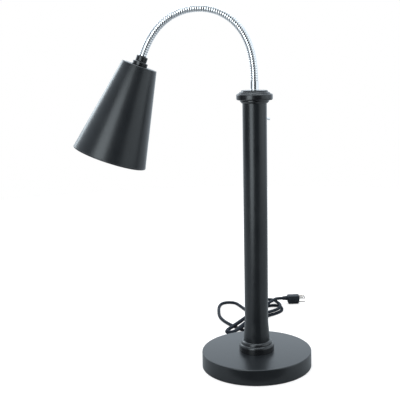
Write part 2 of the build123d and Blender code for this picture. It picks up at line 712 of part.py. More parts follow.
def make_hank():
    points = []
    for place, heading in hank_stations():
        turn = math.radians(heading)
        points.append((Vector(*place), Vector(math.cos(turn), math.sin(turn), 0)))
    start, first = points[0]
    points[0] = (start + first * cord_dia, first)
    edges = [Line(start, points[0][0])]
    for (a, a_dir), (b, b_dir) in zip(points[:-2], points[1:-1]):
        edges += biarc(a, a_dir, b, b_dir)
    edges.append(Line(points[-2][0], points[-1][0]))
    wire = Wire(edges)
    tube = tube_along(wire, cord_dia / 2)
    tightest = min(edge.radius for edge in wire.edges() if edge.geom_type == GeomType.CIRCLE)
    print("hank length", round(wire.length, 1), "tightest radius", round(tightest, 1),
          "least gap to itself", round(least_gap(wire), 2), "volume over section times length",
          round(tube.volume / (math.pi * cord_dia ** 2 / 4 * wire.length), 5))
    built["cord_hank"] = tube


def least_gap(wire, step=2.0):
    """The least clear distance between stretches of the cord that lie over four diameters apart along it."""
    count = int(wire.length / step)
    points = [wire.position_at(i / count) for i in range(count + 1)]
    skip = int(4 * cord_dia / step)
    least = min((points[i] - points[j]).length for i in range(count + 1) for j in range(i + skip, count + 1))
    return least - cord_dia


def make_plug():
    side = (-plug_heading().Y, plug_heading().X, 0)
    place = Plane(origin=plug_axis, x_dir=side, z_dir=plug_heading())
    drop = plug_axis[2]
    rise = plug_height - drop
    flank = Pos(plug_length / 2, (rise - drop) / 2) * Rectangle(plug_length, plug_height)
    flank = fillet(flank.vertices().group_by(Axis.Y)[-1], plug_top_edge)
    flank = fillet(flank.vertices().group_by(Axis.Y)[0], plug_low_edge)
    seen_from_side = Plane(origin=(0, 0, 0), x_dir=(0, 0, 1), z_dir=(-1, 0, 0))
    body = extrude(plug_outline(plug_width / 2, rise, drop), plug_length)
    body &= seen_from_side * extrude(flank, plug_width, both=True)
    relief = turned((0, 2), (relief_root_dia / 2, 2), (relief_tip_dia / 2, -relief_length + 1),
                    (relief_tip_dia / 2 - 0.6, -relief_length), (0, -relief_length))
    built["plug_body"] = place * (body + relief)
    length, thick, wide = blade_size
    spots = [Pos(side * blade_spacing / 2, blade_rise, plug_length + length / 2) for side in (-1, 1)]
    built["plug_blades"] = Compound(children=[place * spot * blade(length, thick, wide) for spot in spots])
    pin_z = plug_length + ground_length
    pin = turned((0, plug_length), (ground_dia / 2, plug_length), (ground_dia / 2, pin_z - 2),
                 (ground_dia / 2 - 1.2, pin_z - 0.4), (0, pin_z))
    built["plug_ground_pin"] = place * Pos(0, blade_rise - ground_drop, 0) * pin


def plug_outline(half, rise, drop):
    """The plug seen along its blades: flat on top, drawn in to a narrow flat underside."""
    corner, foot, low = 3.0, 0.42 * half, -2.0
    flank_x, flank_y = 0.72 * half, -0.72 * drop
    bulge = 0.3 * corner
    edges = [Line((half - corner, rise), (corner - half, rise)), Line((-foot, -drop), (foot, -drop))]
    for side in (-1, 1):
        edges.append(ThreePointArc((side * (half - corner), rise), (side * (half - bulge), rise - bulge),
                                   (side * half, rise - corner)))
        edges.append(Line((side * half, rise - corner), (side * half, low)))
        edges.append(ThreePointArc((side * half, low), (side * flank_x, flank_y), (side * foot, -drop)))
    return make_face(edges)


def blade(length, thick, wide):
    """A flat blade with a hole near its end and a chamfered tip, along Z."""
    flat = Box(thick, wide, length)
    flat = chamfer(flat.faces().sort_by(Axis.Z)[-1].edges().filter_by(Axis.X), 1.0)
    return flat - Pos(0, 0, length / 2 - 4) * Rot(0, 90, 0) * Cylinder(1.6, 2 * thick)


make_base()
make_foot()
make_post()
make_cap()
make_switch()
make_neck()
make_neck_fittings()
make_shade()
make_socket_and_bulb()
make_cord()
make_wires()
make_hank()
make_plug()

os.makedirs("parts", exist_ok=True)
for name, shape in built.items():
    export_step(shape, f"parts/{name}.step")
print(len(built), "nodes")
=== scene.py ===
"""Looks for a food heat lamp: a weighted base, a post, a ribbed chrome gooseneck and a spun shade."""
import json
import math

import bmesh
import bpy
import numpy as np
from mathutils import Matrix, Vector


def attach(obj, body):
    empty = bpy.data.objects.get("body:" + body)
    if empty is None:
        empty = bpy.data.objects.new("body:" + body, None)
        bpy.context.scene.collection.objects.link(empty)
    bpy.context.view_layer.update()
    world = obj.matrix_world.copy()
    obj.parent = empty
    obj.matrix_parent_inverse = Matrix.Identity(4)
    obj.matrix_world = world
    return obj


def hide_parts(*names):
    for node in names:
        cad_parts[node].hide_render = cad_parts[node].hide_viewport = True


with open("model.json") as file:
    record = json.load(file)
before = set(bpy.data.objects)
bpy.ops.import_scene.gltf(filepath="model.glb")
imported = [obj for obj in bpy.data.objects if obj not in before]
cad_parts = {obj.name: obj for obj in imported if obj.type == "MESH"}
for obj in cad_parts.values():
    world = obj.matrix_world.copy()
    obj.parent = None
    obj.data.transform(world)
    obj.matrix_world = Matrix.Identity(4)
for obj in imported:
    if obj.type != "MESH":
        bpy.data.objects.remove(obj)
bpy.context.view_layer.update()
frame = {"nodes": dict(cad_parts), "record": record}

MM = 0.001
bpy.context.scene.view_settings.view_transform = "Standard"
nodes = frame["nodes"]

# Sizes in millimetres and angles in degrees. Most of them are the solid model's
base_radius, base_height = 119.5, 35.0
cover_wall = 1.5
pad_radius, pad_thick = 113.0, 2.0
ring_radius, ring_edge = 38.0, 3.6
collar_top = 54.0
collar_shoulder, collar_rim = 45.0, 58.2  # the turned collar is higher than the solid, as in the photo
post_radius, post_bore, post_top = 25.4, 23.8, 576.5
foot_low, foot_high, foot_radius, groove_radius = 56.0, 64.0, 27.9, 26.6
flare_height = 44.0
ring_base, ring_top = 577.5, 590.5
under_top, under_low, under_radius, under_low_radius = 575.1, 571.3, 30.5, 27.2
cap_tier_top, cap_tier_radius = 593.8, 34.0
cap_top, crown_radius = 597.6, 28.8
neck_start, ferrule_radius = 616.6, 8.55
link_length = 33.6
link_turns = (6.2, 10.2, 14.4, 18.1, 19.5, 18.3, 17.1, 17.2, 16.8, 13.7, 8.5)  # of each link, foot to shade
rib_pitch = 4.8
crest, root = 7.95, 7.4                # the hose's radius on its ribs and between them
joint_gap, hose_lip = 1.4, 7.65        # half the gap between two stretches of hose, and their ends' radius
knuckle, knuckle_groove = 7.55, 6.95   # the ball in the gap, and the bottom of the groove round it
hose_start, hose_end = -13.5, 8.5      # how far the hose goes into its two collars
nipple_radius = 6.6
switch_azimuth, switch_height = 42.5, 539.0
switch_face, switch_mouth, lever_ball_depth = 22.79, 32.0, 2.2
lever_length, lever_tilt = 13.6, 12.5
shade_top, shade_mouth, shade_length, shade_wall = 36.6, 77.46, 199.5, 1.2
bushing_height = 19.8
cap_low, bulb_flare_z, bulb_widest_z, bulb_face_z = -49.7, -119.3, -156.26, -183.3
bulb_radius, bulb_neck_radius, bulb_cap_radius = 63.5, 16.5, 13.1
cord_radius = 4.0
exit_height, grommet_flange, grommet_tail = 11.0, 2.0, 23.0
plug_axis, plug_turn = (111.0, 423.3, 16.0), 3.0
plug_length, plug_half, plug_rise, relief_length = 31.5, 12.0, 7.6, 14.5


# Meshes


def mesh_object(name, verts, faces, material, smooth_angle=35):
    mesh = bpy.data.meshes.new(name)
    mesh.from_pydata([tuple(v) for v in verts], [], [tuple(f) for f in faces])
    mesh.validate()
    mesh.shade_smooth()
    mesh.set_sharp_from_angle(angle=math.radians(smooth_angle))
    mesh.materials.append(material)
    piece = bpy.data.objects.new(name, mesh)
    bpy.context.scene.collection.objects.link(piece)
    return piece


def rounded(profile):
    """A closed outline of (radius, height) points, rounded where a point has an edge radius as well."""
    points, count, steps = [], len(profile), 6
    for i, corner in enumerate(profile):
        here = Vector(corner[:2])
        if len(corner) < 3:
            points.append(here)
            continue
        back, on = Vector(profile[i - 1][:2]) - here, Vector(profile[(i + 1) % count][:2]) - here
        reach = min(corner[2] / math.tan(back.angle(on) / 2), 0.49 * back.length, 0.49 * on.length)
        a, b = here + back.normalized() * reach, here + on.normalized() * reach
        for k in range(steps + 1):
            t = k / steps
            points.append(a.lerp(here, t).lerp(here.lerp(b, t), t))
    return points


def lathe(name, profile, material, place=Matrix(), segments=96):
    """Spins a closed outline in millimetres about Z. Points on the axis become one vertex each."""
    verts, rings = [], []
    for r, z in rounded(profile):
        if r < 1e-4:
            rings.append([len(verts)])
            verts.append(place @ (Vector((0, 0, z)) * MM))
            continue
        rings.append(list(range(len(verts), len(verts) + segments)))
        for k in range(segments):
            a = 2 * math.pi * k / segments
            verts.append(place @ (Vector((r * math.cos(a), r * math.sin(a), z)) * MM))
    faces = []
    for a, b in zip(rings, rings[1:] + rings[:1]):
        if len(a) == 1 and len(b) == 1:
            continue
        for k in range(segments):
            j = (k + 1) % segments
            if len(a) == 1:
                faces.append((a[0], b[j], b[k]))
            elif len(b) == 1:
                faces.append((a[k], a[j], b[0]))
            else:
                faces.append((a[k], a[j], b[j], b[k]))
    return mesh_object(name, verts, faces, material)


def arc(a, b, c, steps=12):
    """Points from a to c, past a, on the circle through three (radius, height) points."""
    a, b, c = Vector(a), Vector(b), Vector(c)
    d = 2 * ((b - a).x * (c - a).y - (b - a).y * (c - a).x)
    p, q = (b - a).length_squared, (c - a).length_squared
    centre = a + Vector(((c - a).y * p - (b - a).y * q, (b - a).x * q - (c - a).x * p)) / d
    first, last = (math.atan2((v - centre).y, (v - centre).x) for v in (a, c))
    middle = math.atan2((b - centre).y, (b - centre).x)
    sweep = (last - first) % (2 * math.pi)
    if (middle - first) % (2 * math.pi) > sweep:
        sweep -= 2 * math.pi
    radius = (a - centre).length
    return [(centre.x + radius * math.cos(first + sweep * k / steps),
             centre.y + radius * math.sin(first + sweep * k / steps)) for k in range(1, steps + 1)]


def place_along(point, out, across):
    """A frame whose Z points out and whose X points across, at a point in millimetres."""
    out, across = Vector(out).normalized(), Vector(across).normalized()
    turn = Matrix((across, out.cross(across), out)).transposed().to_4x4()
    return Matrix.Translation(Vector(point) * MM) @ turn


def tube_faces(rings, around):
    """The faces between rings of vertices, each with the same number around."""
    faces = []
    for i in range(rings - 1):
        for k in range(around):
            j = (k + 1) % around
            faces.append((i * around + k, i * around + j, (i + 1) * around + j, (i + 1) * around + k))
    return faces


# Materials


def surface(name, colour, roughness, metallic=0.0, **sockets):
    material = bpy.data.materials.new(name)
    material.use_nodes = True
    shader = material.node_tree.nodes["Principled BSDF"]
    shader.inputs["Base Color"].default_value = (*colour, 1)
    shader.inputs["Roughness"].default_value = roughness
    shader.inputs["Metallic"].default_value = metallic
    for socket, value in sockets.items():
        shader.inputs[socket.replace("_", " ")].default_value = value
    return material


def add_node(material, kind, **values):
    node = material.node_tree.nodes.new(kind)
    for key, value in values.items():
        if key in node.inputs:
            node.inputs[key].default_value = value
        else:
            setattr(node, key, value)
    return node


def link(material, source, target):
    material.node_tree.links.new(source, target)


def texture(material, kind, scale, stretch=(1, 1, 1), **values):
    """The grey output of a new 3-D texture in the object's own space."""
    tree = material.node_tree
    where = tree.nodes.get("where") or add_node(material, "ShaderNodeTexCoord")
    where.name = "where"
    mapping = add_node(material, "ShaderNodeMapping")
    mapping.inputs["Scale"].default_value = stretch
    link(material, where.outputs["Object"], mapping.inputs["Vector"])
    node = add_node(material, kind, Scale=scale, **values)
    link(material, mapping.outputs["Vector"], node.inputs["Vector"])
    return node.outputs["Fac"] if "Fac" in node.outputs else node.outputs["Distance"]


def vary_colour(material, field, dark, light):
    ramp = add_node(material, "ShaderNodeValToRGB")
    first, last = ramp.color_ramp.elements
    first.position, last.position = 0.35, 0.65
    first.color, last.color = (*dark, 1), (*light, 1)
    link(material, field, ramp.inputs["Fac"])
    link(material, ramp.outputs["Color"], material.node_tree.nodes["Principled BSDF"].inputs["Base Color"])


def vary_roughness(material, field, low, high):
    spread = add_node(material, "ShaderNodeMapRange")
    spread.inputs["To Min"].default_value, spread.inputs["To Max"].default_value = low, high
    spread.inputs["From Min"].default_value, spread.inputs["From Max"].default_value = 0.3, 0.7
    link(material, field, spread.inputs["Value"])
    link(material, spread.outputs["Result"], material.node_tree.nodes["Principled BSDF"].inputs["Roughness"])


def add_bump(material, field, strength, depth):
    """Bumps of a depth in millimetres, on top of any bump that is there already."""
    shader = material.node_tree.nodes["Principled BSDF"]
    bump = add_node(material, "ShaderNodeBump")
    bump.inputs["Strength"].default_value, bump.inputs["Distance"].default_value = strength, depth * MM
    link(material, field, bump.inputs["Height"])
    if shader.inputs["Normal"].is_linked:
        link(material, shader.inputs["Normal"].links[0].from_socket, bump.inputs["Normal"])
    link(material, bump.outputs["Normal"], shader.inputs["Normal"])


def powder_coat():
    """Satin black powder coat: a fine orange peel, with faint cloudiness in its sheen."""
    m = surface("powder_black", (0.010, 0.011, 0.0125), 0.31, Specular_IOR_Level=0.5)
    cloud = texture(m, "ShaderNodeTexNoise", 14, Detail=3)
    vary_colour(m, cloud, (0.008, 0.009, 0.0105), (0.013, 0.014, 0.0155))
    vary_roughness(m, cloud, 0.29, 0.33)
    add_bump(m, texture(m, "ShaderNodeTexNoise", 900, Detail=2), 0.2, 0.02)
    add_bump(m, texture(m, "ShaderNodeTexVoronoi", 1500), 0.1, 0.012)
    return m


def gloss_enamel():
    m = surface("gloss_black", (0.009, 0.009, 0.010), 0.26, Specular_IOR_Level=0.55)
    vary_roughness(m, texture(m, "ShaderNodeTexNoise", 30, Detail=3), 0.25, 0.27)
    add_bump(m, texture(m, "ShaderNodeTexNoise", 420, Detail=2), 0.05, 0.008)
    return m


def plated(name, colour, roughness, scratches=0.08):
    m = surface(name, colour, roughness, 1.0)
    haze = texture(m, "ShaderNodeTexNoise", 60, Detail=4)
    vary_roughness(m, haze, roughness * 0.9, roughness * 1.15)
    vary_colour(m, haze, tuple(c * 0.96 for c in colour), colour)
    add_bump(m, texture(m, "ShaderNodeTexNoise", 700, stretch=(1, 1, 0.08)), scratches, 0.01)
    return m


def cast_iron():
    m = surface("cast_weight", (0.05, 0.048, 0.045), 0.75, 0.6)
    grain = texture(m, "ShaderNodeTexNoise", 350, Detail=6)
    vary_colour(m, grain, (0.03, 0.029, 0.028), (0.08, 0.075, 0.07))
    add_bump(m, grain, 0.6, 0.4)
    return m


def felt():
    m = surface("felt_pad", (0.02, 0.02, 0.021), 0.95, Sheen_Weight=0.4, Sheen_Roughness=0.5)
    fibres = texture(m, "ShaderNodeTexNoise", 700, stretch=(1, 0.25, 1), Detail=8)
    vary_colour(m, fibres, (0.012, 0.012, 0.013), (0.045, 0.045, 0.047))
    add_bump(m, fibres, 0.8, 0.5)
    return m


def moulded(name, colour, roughness, grain=600, strength=0.2, **sockets):
    m = surface(name, colour, roughness, **sockets)
    field = texture(m, "ShaderNodeTexNoise", grain, Detail=4)
    vary_colour(m, field, tuple(c * 0.8 for c in colour), tuple(min(c * 1.25, 1) for c in colour))
    vary_roughness(m, field, roughness - 0.05, roughness + 0.08)
    add_bump(m, field, strength, 0.06)
    return m


def woven_sleeve():
    m = surface("wire_sleeve", (0.62, 0.58, 0.48), 0.8, Sheen_Weight=0.3)
    weave = texture(m, "ShaderNodeTexWave", 260, Distortion=1.5, Detail=2)
    vary_colour(m, weave, (0.45, 0.42, 0.34), (0.72, 0.68, 0.58))
    add_bump(m, weave, 0.6, 0.25)
    return m


def porcelain():
    m = surface("porcelain", (0.83, 0.81, 0.76), 0.16, Coat_Weight=0.6, Coat_Roughness=0.05)
    vary_colour(m, texture(m, "ShaderNodeTexNoise", 120, Detail=6), (0.76, 0.74, 0.69), (0.85, 0.83, 0.79))
    add_bump(m, texture(m, "ShaderNodeTexNoise", 200, Detail=2), 0.1, 0.1)
    return m


def frosted_glass():
    m = surface("bulb_face", (0.93, 0.92, 0.9), 0.5, Transmission_Weight=0.35, Subsurface_Weight=0.15)
    etch = texture(m, "ShaderNodeTexNoise", 1400, Detail=3)
    vary_roughness(m, etch, 0.42, 0.58)
    add_bump(m, etch, 0.25, 0.05)
    return m


def silvered_glass():
    m = surface("bulb_reflector", (0.86, 0.86, 0.87), 0.12, 0.9, Coat_Weight=1.0, Coat_Roughness=0.02)
    vary_roughness(m, texture(m, "ShaderNodeTexNoise", 35, Detail=3), 0.08, 0.2)
    return m


looks = {
    "powder_black": powder_coat(),
    "gloss_black": gloss_enamel(),
    "neck_chrome": plated("neck_chrome", (0.8, 0.8, 0.81), 0.05, 0.04),
    "bright_chrome": plated("bright_chrome", (0.76, 0.76, 0.77), 0.1),
    "cast_weight": cast_iron(),
    "zinc_steel": plated("zinc_steel", (0.52, 0.53, 0.55), 0.3, 0.3),
    "felt_pad": felt(),
    "switch_case": moulded("switch_case", (0.02, 0.02, 0.022), 0.5),
    "grommet_rubber": moulded("grommet_rubber", (0.014, 0.014, 0.015), 0.6, 500, 0.3),
    "cord_jacket": moulded("cord_jacket", (0.008, 0.011, 0.017), 0.58, 400, 0.2, Specular_IOR_Level=0.16),
    "plug_moulding": moulded("plug_moulding", (0.009, 0.012, 0.016), 0.5, 500, 0.25, Specular_IOR_Level=0.3),
    "prong_brass": plated("prong_brass", (0.86, 0.78, 0.72), 0.22, 0.2),
    "wire_sleeve": woven_sleeve(),
    "wire_cover": moulded("wire_cover", (0.35, 0.03, 0.03), 0.45),
    "porcelain": porcelain(),
    "socket_brass": plated("socket_brass", (0.72, 0.55, 0.3), 0.25, 0.2),
    "bulb_glass": frosted_glass(),
    "bulb_silvered": silvered_glass(),
    "bulb_cap": plated("bulb_cap", (0.7, 0.7, 0.71), 0.25, 0.2),
}
for part in frame["record"]["subparts"]:
    node = nodes[part["node"]]
    node.data.materials.clear()
    node.data.materials.append(looks[part["material_slot"]])


def dress(piece, body, slot, *replaced):
    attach(piece, body)
    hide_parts(*replaced)
    return piece


# Camera, as the photograph was taken


def set_camera():
    focal_px, image_px = 779.8, 400
    distance, height, aside = 1.6216, 0.6625, -0.097
    yaw, pitch, roll = (math.radians(a) for a in (-2.27, 10.29, -0.72))
    forward = Vector((-math.sin(yaw) * math.cos(pitch), math.cos(yaw) * math.cos(pitch), -math.sin(pitch)))
    right = Vector((math.cos(yaw), math.sin(yaw), 0))
    up = right.cross(forward)
    rolled_right = right * math.cos(roll) + up * math.sin(roll)
    rolled_up = up * math.cos(roll) - right * math.sin(roll)
    turn = Matrix((rolled_right, rolled_up, -forward)).transposed().to_4x4()
    data = bpy.data.cameras.new("camera")
    data.sensor_width = 36
    data.lens = focal_px / image_px * data.sensor_width
    data.shift_x = -0.1
    camera = bpy.data.objects.new("camera", data)
    camera.matrix_world = Matrix.Translation((aside, -distance, height)) @ turn
    bpy.context.scene.collection.objects.link(camera)
    bpy.context.scene.camera = camera


# Stage and light


def white_for_camera(tree, studio):
    """Plain white to the camera, straight and through glass. All other rays see the studio."""
    rays, either = tree.nodes.new("ShaderNodeLightPath"), tree.nodes.new("ShaderNodeMath")
    either.operation = "MAXIMUM"
    tree.links.new(rays.outputs["Is Camera Ray"], either.inputs[0])
    tree.links.new(rays.outputs["Is Transmission Ray"], either.inputs[1])
    white, mix = tree.nodes.new("ShaderNodeBackground"), tree.nodes.new("ShaderNodeMixShader")
    white.inputs["Color"].default_value = (1, 1, 1, 1)
    tree.links.new(either.outputs[0], mix.inputs["Fac"])
    tree.links.new(studio, mix.inputs[1])
    tree.links.new(white.outputs[0], mix.inputs[2])
    tree.links.new(mix.outputs[0], tree.nodes["World Output"].inputs["Surface"])


def floor_piece(name, corners, reflected):
    """White paper to the camera, with the object's shadow on it, and a grey of its own to all other rays."""
    material = bpy.data.materials.new(name)
    material.use_nodes = True
    tree = material.node_tree
    seen, paper = tree.nodes["Principled BSDF"], tree.nodes.new("ShaderNodeBsdfDiffuse")
    seen.inputs["Base Color"].default_value = (0.56, 0.505, 0.48, 1)
    seen.inputs["Roughness"].default_value = 0.9
    paper.inputs["Color"].default_value = (reflected, reflected, reflected, 1)
    rays = tree.nodes.new("ShaderNodeLightPath")
    glow = tree.nodes.new("ShaderNodeEmission")
    both = tree.nodes.new("ShaderNodeAddShader")
    mix = tree.nodes.new("ShaderNodeMixShader")
    glow.inputs["Strength"].default_value = 0.55  # just enough for the lit floor to be white
    tree.links.new(seen.outputs[0], both.inputs[0])
    tree.links.new(glow.outputs[0], both.inputs[1])
    tree.links.new(rays.outputs["Is Camera Ray"], mix.inputs["Fac"])
    tree.links.new(paper.outputs[0], mix.inputs[1])
    tree.links.new(both.outputs[0], mix.inputs[2])
    tree.links.new(mix.outputs[0], tree.nodes["Material Output"].inputs["Surface"])
    mesh_object(name, corners, [tuple(range(len(corners)))], material)


def set_stage():
    world = bpy.data.worlds.new("studio")
    bpy.context.scene.world = world
    world.use_nodes = True
    tree = world.node_tree
    plain = tree.nodes["Background"]
    where = tree.nodes.new("ShaderNodeTexCoord")
    towards = tree.nodes.new("ShaderNodeVectorMath")
    towards.operation = "DOT_PRODUCT"
    towards.inputs[1].default_value = (0.12, 0.75, 0.6)
    shades = tree.nodes.new("ShaderNodeMapRange")
    shades.inputs["From Min"].default_value = -1.0
    ramp = tree.nodes.new("ShaderNodeValToRGB")
    plain.inputs["Strength"].default_value = 1.6
    # the room is dark towards the camera and bright behind the object and above it
    levels = {0.0: 0.012, 0.28: 0.032, 0.42: 0.187, 0.56: 0.376, 0.72: 0.6, 1.0: 0.87}
    for position in list(levels)[1:-1]:
        ramp.color_ramp.elements.new(position)
    for stop, level in zip(ramp.color_ramp.elements, levels.values()):
        stop.color = (level * 0.86, level * 0.97, level * 1.07, 1)
    tree.links.new(where.outputs["Generated"], towards.inputs[0])
    tree.links.new(towards.outputs["Value"], shades.inputs["Value"])
    tree.links.new(shades.outputs["Result"], ramp.inputs["Fac"])
    tree.links.new(ramp.outputs["Color"], plain.inputs["Color"])
    white_for_camera(tree, plain.outputs[0])

    # A wedge of the floor towards the camera is dark in reflections, as the room was
    reach, half_wedge, steps = 2.4, math.radians(28), 96
    turns = [half_wedge + 2 * (math.pi - half_wedge) * k / steps for k in range(steps + 1)]
    rim = [(-reach * math.sin(turn), -reach * math.cos(turn), 0) for turn in turns]
    near_right, near_left = (0.12, -0.14, 0), (-0.16, -0.14, 0)
    floor_piece("floor", (*rim, near_right, near_left), 0.42)
    floor_piece("floor_front", (near_left, near_right, rim[-1], rim[0]), 0.07)


def area_light(name, place, target, size, power):
    data = bpy.data.lights.new(name, "AREA")
    data.shape, data.size, data.size_y = "RECTANGLE", size[0], size[1]
    data.energy, data.color = power, (0.88, 0.98, 1.03)
    lamp = bpy.data.objects.new(name, data)
    lamp.location = place
    lamp.rotation_euler = (Vector(target) - Vector(place)).to_track_quat("-Z", "Y").to_euler()
    bpy.context.scene.collection.objects.link(lamp)


def set_lights():
    area_light("key_left", (-0.72, -1.03, 0.7), (0, 0, 0.6), (0.72, 1.2), 10.5)
    area_light("fill_right", (2.2, -0.9, 0.95), (0, 0, 0.5), (2.6, 1.8), 14)
    area_light("top_front", (0, -1.5, 2.0), (-0.1, 0, 0.8), (2.0, 1.3), 3.5)
    area_light("rim_left", (-1.5, 1.7, 1.25), (0, 0, 0.2), (0.9, 0.9), 9)
    area_light("overhead", (-0.1, 0.35, 2.4), (0, 0.1, 0.3), (1.8, 1.8), 28)


# Base, post and cap


def build_base():
    inner, under, low = base_radius - cover_wall, base_height - cover_wall, 0.8
    cover = lathe("base_cover_spun", (
        (post_bore, base_height), (base_radius, base_height, 2.6), (base_radius, low, 0.7),
        (inner, low, 0.7), (inner, under, 1.2), (post_bore, under)), looks["powder_black"], segments=256)
    dress(cover, "stand", "powder_black", "base_cover")
    pad = lathe("base_pad_felt", ((0, 0), (pad_radius, 0, 0.6), (pad_radius, pad_thick, 0.6), (0, pad_thick)),
                looks["felt_pad"], segments=128)
    dress(pad, "stand", "felt_pad", "base_pad")
    # the collar goes up in two rounded tiers to a cup round the post's foot
    shoulder, crease, rim = (ring_radius, collar_shoulder), (33.6, 51.2), (28.4, collar_rim)
    seat = collar_top + 0.1
    collar = lathe("base_collar_turned", (
        (post_bore, base_height), (ring_radius, base_height, 0.6), shoulder,
        *arc(shoulder, (36.8, 49.0), crease), *arc(crease, (32.4, 55.4), rim),
        (rim[0] - 0.2, seat), (post_bore, seat)), looks["gloss_black"], segments=192)
    dress(collar, "stand", "gloss_black", "base_collar")


def build_post():
    outside = [(groove_radius, collar_top), (groove_radius, foot_low - 0.6, 0.3),
               (foot_radius, foot_low + 0.2, 0.5)]
    steps, flare = 20, foot_radius - post_radius
    for k in range(steps + 1):
        share = (1 + math.cos(math.pi * k / steps)) / 2
        outside.append((post_radius + flare * share, foot_high + flare_height * k / steps))
    inside = [(post_radius, post_top, 0.3), (post_bore, post_top), (post_bore, collar_top)]
    post = lathe("post_spun", outside + inside, looks["powder_black"], segments=160)
    dress(post, "stand", "powder_black", "post_tube")


def build_cap():
    seat = post_radius + 0.1
    ring = lathe("cap_ring_turned", (
        (seat, under_low), (under_low_radius, under_low, 0.4), (under_radius, under_top, 0.5),
        (under_radius, ring_base, 0.6), (ring_radius, ring_base, ring_edge),
        (ring_radius, ring_top, ring_edge), (post_bore, ring_top), (post_bore, ring_base), (seat, ring_base)),
        looks["gloss_black"], segments=192)
    dress(ring, "stand", "gloss_black", "cap_ring")
    plate = lathe("cap_plate_turned", (
        (nipple_radius, ring_top), (cap_tier_radius, ring_top, 0.4),
        (cap_tier_radius - 2.8, cap_tier_top, 1.6), (crown_radius, cap_tier_top, 0.5),
        (crown_radius - 1.8, cap_top, 1.8), (nipple_radius, cap_top)), looks["gloss_black"], segments=192)
    dress(plate, "stand", "gloss_black", "cap_plate")
    bore, flange, end = crest + 0.1, ferrule_radius + 0.5, neck_start - 0.2
    ferrule = lathe("neck_ferrule_turned", (
        (bore, cap_top), (flange, cap_top, 0.3), (flange, cap_top + 1.4, 0.5),
        (ferrule_radius, cap_top + 2.2, 0.4), (ferrule_radius, end, 0.8), (bore, end)),
        looks["bright_chrome"])
    dress(ferrule, "stand", "bright_chrome", "neck_ferrule")


# Switch


def switch_bushing_outline():
    neck, valley, peak, mouth, pitch = 5.4, 5.5, 5.9, 3.6, 1.0
    outline = [(0, switch_face - 1), (neck, switch_face - 1), (neck, switch_face + 1)]
    for k in range(int(switch_mouth - switch_face - 2)):
        low = switch_face + 1.2 + k * pitch
        outline += [(peak, low + 0.3, 0.1), (peak, low + 0.5, 0.1), (valley, low + 0.9, 0.1)]
    return outline + [(valley, switch_mouth, 0.4), (mouth, switch_mouth, 0.3), (mouth, switch_mouth - 3),
                      (0, switch_mouth - 5.4)]


def switch_case_piece(name, place):
    """The switch's box, with its edges rounded, and its two solder tags."""
    case, shape = bpy.data.meshes.new(name), bmesh.new()
    box, tag, tag_height = (28, 13, 16), (0.8, 4.8, 5.5), switch_face - 18.75
    for size, centre in ((box, (0, 0, switch_face - box[2] / 2)), (tag, (-9.5, 0, tag_height)),
                         (tag, (9.5, 0, tag_height))):
        made = bmesh.ops.create_cube(shape, size=1)["verts"]
        bmesh.ops.scale(shape, vec=size, verts=made)
        bmesh.ops.translate(shape, vec=centre, verts=made)
    bmesh.ops.bevel(shape, geom=shape.edges[:12], offset=0.8, segments=3, profile=0.5, affect="EDGES")
    bmesh.ops.transform(shape, matrix=place @ Matrix.Scale(MM, 4), verts=shape.verts)
    shape.to_mesh(case)
    shape.free()
    case.materials.append(looks["switch_case"])
    piece = bpy.data.objects.new(name, case)
    bpy.context.scene.collection.objects.link(piece)
    return piece


def build_switch():
    angle = math.radians(switch_azimuth)
    place = place_along((0, 0, switch_height), (math.cos(angle), math.sin(angle), 0), (0, 0, 1))
    bushing = lathe("switch_bushing_threaded", switch_bushing_outline(), looks["bright_chrome"], place, 64)
    dress(bushing, "stand", "bright_chrome", "switch_body")
    case = switch_case_piece("switch_case_moulded", place)
    dress(case, "stand", "switch_case", "switch_body")
    ball = switch_mouth - lever_ball_depth
    tip = lever_ball_depth + lever_length
    lean = place @ Matrix.Translation((0, 0, ball * MM)) @ Matrix.Rotation(math.radians(-lever_tilt), 4, "Y")
    bat = lathe("switch_bat_lever", (
        (0, -3.2), (1.8, -2.7, 0.8), (3.15, 0, 1.6), (1.85, 3.2, 0.8), (2.1, 5.5, 2), (2.9, tip - 3.4, 2),
        (2.9, tip - 1.2, 1.0), (1.6, tip, 1.2), (0, tip)), looks["bright_chrome"], lean, segments=64)
    dress(bat, "lever", "bright_chrome", "switch_lever")


# Gooseneck


def neck_place(s):
    """X, Z and the heading, in radians from +X towards +Z, at a length along the neck from its foot."""
    x, z, heading = 0.0, neck_start, math.pi / 2
    if s < 0:
        return x, z + s, heading
    for number, turn in enumerate(link_turns):
        here = min(s - number * link_length, link_length)
        angle = math.radians(turn)
        radius, part = link_length / angle, angle * here / link_length
        x += radius * (math.sin(heading + part) - math.sin(heading))
        z += radius * (math.cos(heading) - math.cos(heading + part))
        heading += part
        if s <= (number + 1) * link_length:
            return x, z, heading
    past = s - link_length * len(link_turns)
    return x + past * math.cos(heading), z + past * math.sin(heading), heading


def hose_piece(name, start, end):
    """A stretch of hose with low round ribs, which ends in a plain lip beside each joint."""
    around, rings_per_rib = 64, 14
    rings = round((end - start) / rib_pitch * rings_per_rib)
    lengths = np.linspace(start, end, rings + 1)
    radii = crest - (crest - root) * (2 * (lengths / rib_pitch % 1.0) - 1) ** 2
    stations = [(start, hose_lip), *zip(lengths, radii), (end, hose_lip)]
    angles = np.linspace(0, 2 * np.pi, around, endpoint=False)
    verts = []
    for s, radius in stations:
        x, z, heading = neck_place(s)
        out = np.array([math.sin(heading), 0, -math.cos(heading)])
        spokes = np.cos(angles)[:, None] * out + np.sin(angles)[:, None] * np.array([0, 1, 0])
        verts.extend((np.array([x, 0, z]) + radius * spokes) * MM)
    return mesh_object(name, verts, tube_faces(len(stations), around), looks["neck_chrome"], 50)


